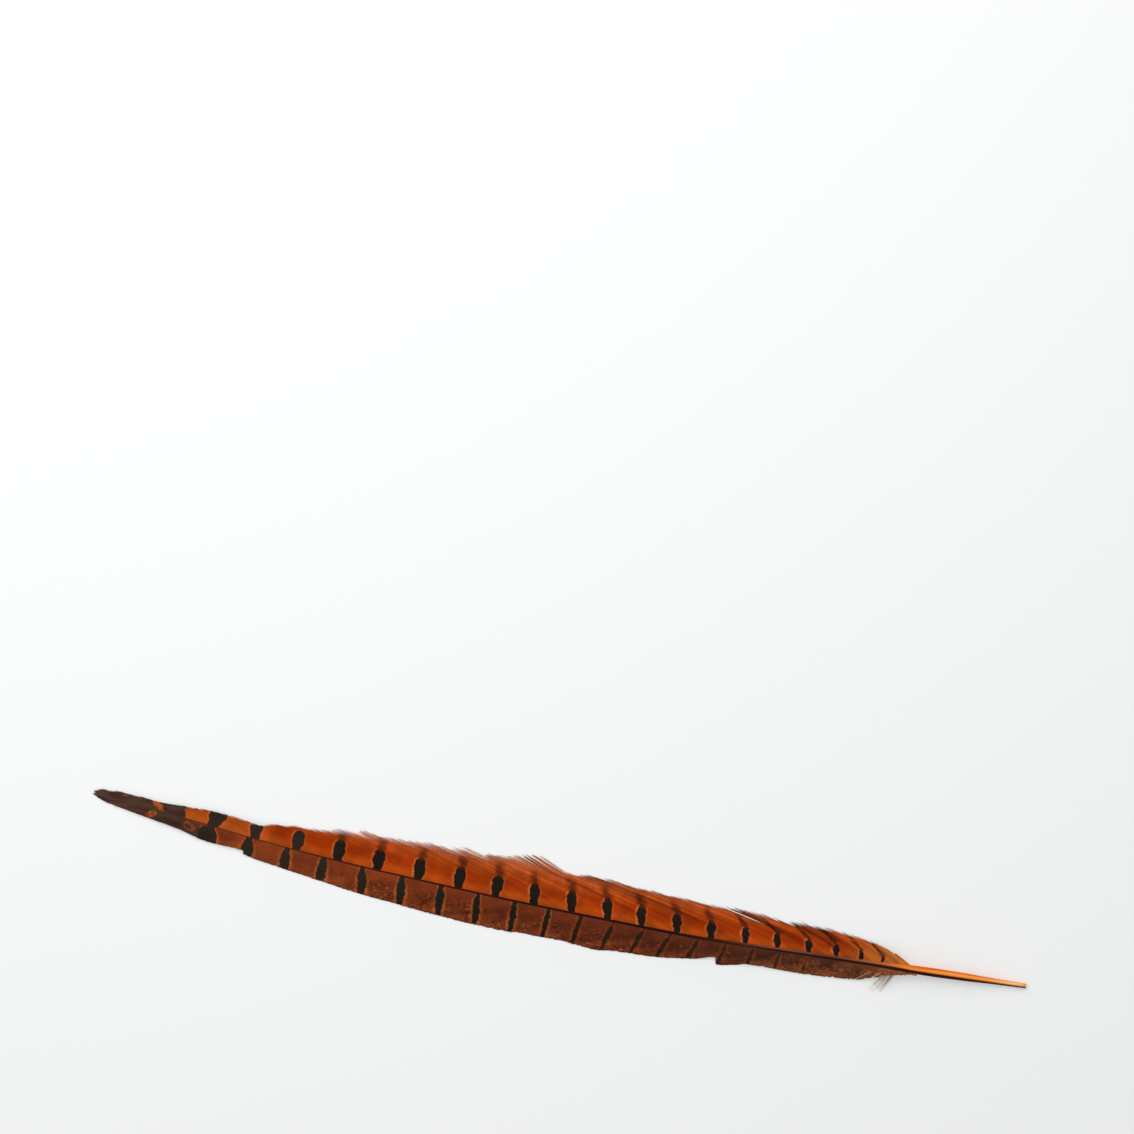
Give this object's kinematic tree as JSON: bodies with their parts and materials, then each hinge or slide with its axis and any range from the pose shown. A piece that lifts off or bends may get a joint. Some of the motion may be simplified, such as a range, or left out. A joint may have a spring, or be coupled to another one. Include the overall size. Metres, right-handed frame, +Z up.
{
  "type": "pheasant tail feather",
  "caption": "Long barred tail feather of a pheasant, dyed orange, with a tapering quill, a fringed vane and a mottled vane, lying flat.",
  "frame": {"origin": "on the surface that the feather lies on, under the middle of its box", "axes": "+X from the tip to the quill end, +Y towards the fringed vane, +Z up"},
  "size_m": [0.4, 0.0349, 0.0057],
  "materials": {
    "quill": "smooth horny keratin, orange at the bare quill and dark brown along the vanes",
    "orange_vane": "soft barbs with a slight silky sheen, burnt orange with black bars",
    "brown_vane": "soft barbs, red-brown mottling with black bars",
    "down": "loose pale grey-brown down"
  },
  "bodies": {
    "root": {"shaft": "quill", "fringed_vane": "orange_vane", "mottled_vane": "brown_vane", "basal_down": "down"}
  },
  "joints": []
}
